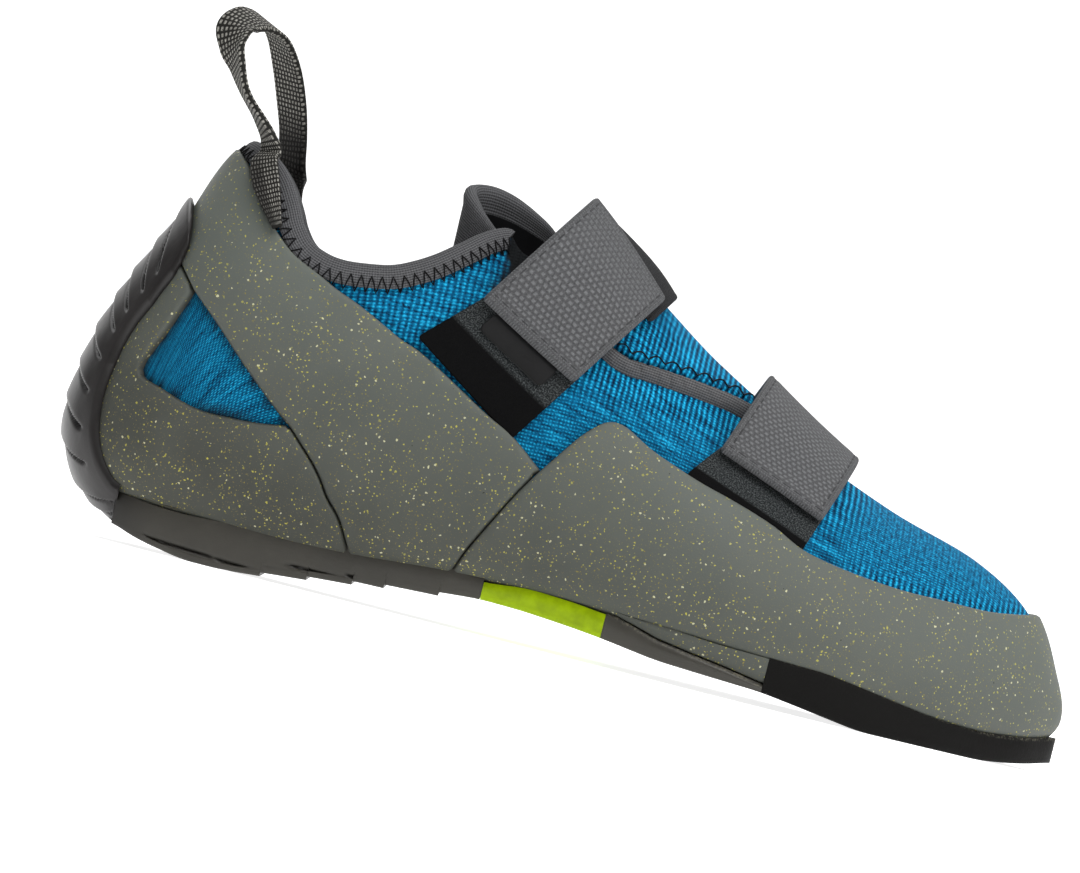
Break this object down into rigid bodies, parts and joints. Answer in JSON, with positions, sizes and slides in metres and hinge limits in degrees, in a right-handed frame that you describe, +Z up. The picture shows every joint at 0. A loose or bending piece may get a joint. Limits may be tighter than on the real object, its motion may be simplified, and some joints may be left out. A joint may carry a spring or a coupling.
{
  "type": "climbing shoe",
  "caption": "Low-cut climbing shoe with a blue knit upper, grey rubber rands, a ribbed black heel, two hook-and-loop straps and a pull loop.",
  "frame": {"origin": "on the floor, below the middle of the shoe's box", "axes": "+X from heel to toe, +Y to the big-toe side, +Z up"},
  "size_m": [0.2606, 0.0896, 0.1378],
  "materials": {
    "knit": "ribbed and heathered blue knit",
    "rand_rubber": "matte speckled grey-green rand rubber",
    "black_rubber": "satin black rubber",
    "grey_rubber": "semi-gloss dark grey rubber",
    "lime_rubber": "glossy lime rubber",
    "strap_webbing": "grey basket-weave webbing",
    "hook_fabric": "fuzzy charcoal hook tape",
    "binding_knit": "grey ribbed binding",
    "loop_webbing": "charcoal webbing with light threads",
    "satin": "bare black satin",
    "footbed": "dark lining cloth"
  },
  "bodies": {
    "root": {"upper": "knit", "insole": "footbed", "rear_sole": "grey_rubber", "arch_insert": "lime_rubber", "waist_sole": "grey_rubber", "waist_strip": "rand_rubber", "front_sole": "black_rubber", "heel_cup": "black_rubber", "front_rand": "rand_rubber", "slingshot_rand": "rand_rubber", "heel_rand": "rand_rubber", "medial_flap": "knit", "flap_binding": "binding_knit", "tongue": "binding_knit", "collar_binding": "binding_knit", "upper_strap": "strap_webbing", "lower_strap": "strap_webbing", "strap_root": "loop_webbing", "upper_hook_patch": "hook_fabric", "lower_hook_patch": "hook_fabric", "label_patch": "satin", "pull_loop": "loop_webbing"}
  },
  "joints": []
}
